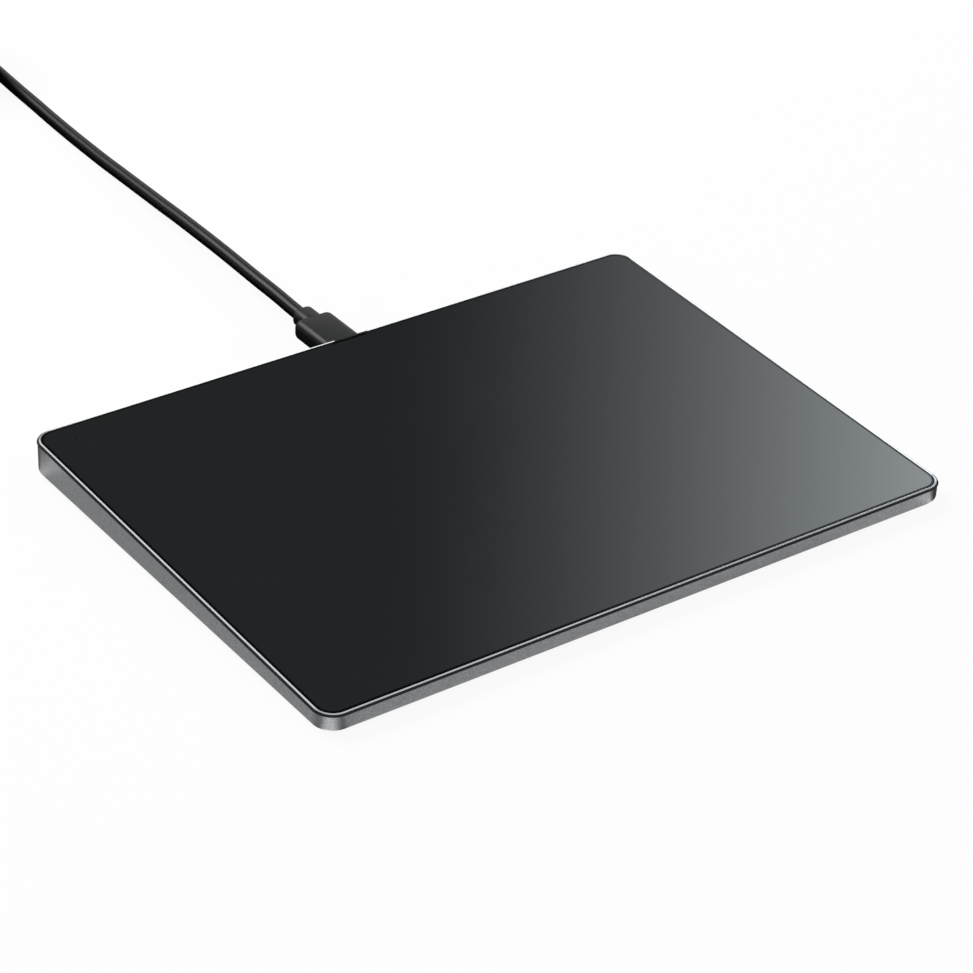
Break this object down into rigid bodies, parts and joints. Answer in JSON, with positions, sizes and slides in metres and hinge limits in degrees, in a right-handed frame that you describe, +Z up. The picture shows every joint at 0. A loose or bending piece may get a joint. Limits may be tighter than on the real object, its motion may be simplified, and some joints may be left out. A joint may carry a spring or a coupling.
{
  "type": "trackpad",
  "caption": "Corded desk trackpad: a glass touch plate hinged in a low wedge-shaped metal housing, with a click switch under its front edge and a plug-in cable.",
  "frame": {"origin": "middle of the pad's footprint, on the desk plane under its feet", "axes": "+X to the user's right, +Y to the rear where the cable leaves, +Z up"},
  "size_m": [0.165, 0.3568, 0.0166],
  "materials": {
    "anodised_aluminium": "fine sandblasted wall with a polished rim",
    "cover_plastic": "fine matt texture",
    "screw_steel": "plated",
    "foot_rubber": "matt",
    "seal_foam": "open foam",
    "sheet_steel": "rolled sheet",
    "pin_steel": "polished",
    "circuit_board": "solder mask",
    "chip_plastic": "moulded",
    "connector_plastic": "moulded",
    "connector_steel": "plated",
    "insert_brass": "turned",
    "black_glass": "smooth, printed black from behind",
    "band_plastic": "smooth",
    "plunger_plastic": "moulded",
    "flex_film": "smooth film",
    "plug_plastic": "moulded satin",
    "cable_jacket": "extruded satin"
  },
  "bodies": {
    "base": {"housing_frame": "anodised_aluminium", "bottom_cover": "cover_plastic", "cover_screws": "screw_steel", "foot_front_left": "foot_rubber", "foot_front_right": "foot_rubber", "foot_rear_left": "foot_rubber", "foot_rear_right": "foot_rubber", "chassis_plate": "sheet_steel", "foam_seal": "seal_foam", "hinge_bracket_left": "sheet_steel", "hinge_bracket_right": "sheet_steel", "hinge_pin_left": "pin_steel", "hinge_pin_right": "pin_steel", "hinge_rivets": "screw_steel", "controller_board": "circuit_board", "controller_chip": "chip_plastic", "board_screws": "screw_steel", "flex_socket_lower": "connector_plastic", "usb_socket_shell": "connector_steel", "usb_socket_tongue": "chip_plastic", "striker_insert": "insert_brass", "striker_screw": "screw_steel"},
    "touch_plate": {"glass_plate": "black_glass", "edge_band": "band_plastic", "indicator_lens": "band_plastic", "bond_film": "band_plastic", "sensor_board": "circuit_board", "touch_chip": "chip_plastic", "indicator_led": "connector_plastic", "stiffener_plate": "sheet_steel", "hinge_knuckle_left": "sheet_steel", "hinge_knuckle_right": "sheet_steel", "switch_body": "chip_plastic", "switch_dome": "pin_steel", "flex_socket_upper": "connector_plastic", "flex_cable": "flex_film"},
    "click_plunger": {"switch_plunger": "plunger_plastic"},
    "usb_cable": {"usb_c_shell": "connector_steel", "usb_c_core": "chip_plastic", "usb_c_overmould": "plug_plastic", "usb_c_collar": "plug_plastic", "cable_lead": "cable_jacket", "cable_coil": "cable_jacket", "cable_tail": "cable_jacket", "cable_tie": "plug_plastic", "usb_a_collar": "plug_plastic", "usb_a_overmould": "plug_plastic", "usb_a_shell": "connector_steel", "usb_a_tongue": "connector_plastic"}
  },
  "joints": [
    {"name": "plate_click", "type": "hinge", "parent": "base", "child": "touch_plate", "pos_m": [0, 0.05014, 0.00448], "axis": [1, 0, 0], "range_deg": [0, 0.1491], "stiffness_Nm_per_rad": 30, "springref_deg": -0.29, "deforming": ["flex_cable"]},
    {"name": "plunger_travel", "type": "slide", "parent": "touch_plate", "child": "click_plunger", "axis": [0, -0.0325, 0.9995], "range_m": [0, 0.00026], "deforming": ["switch_dome"]},
    {"name": "cable_pull", "type": "slide", "parent": "base", "child": "usb_cable", "axis": [0, 1, 0], "range_m": [0, 0.01]}
  ],
  "couplings": [
    {"joint": "plunger_travel", "follows": "plate_click", "m_per_rad": 0.09605}
  ]
}
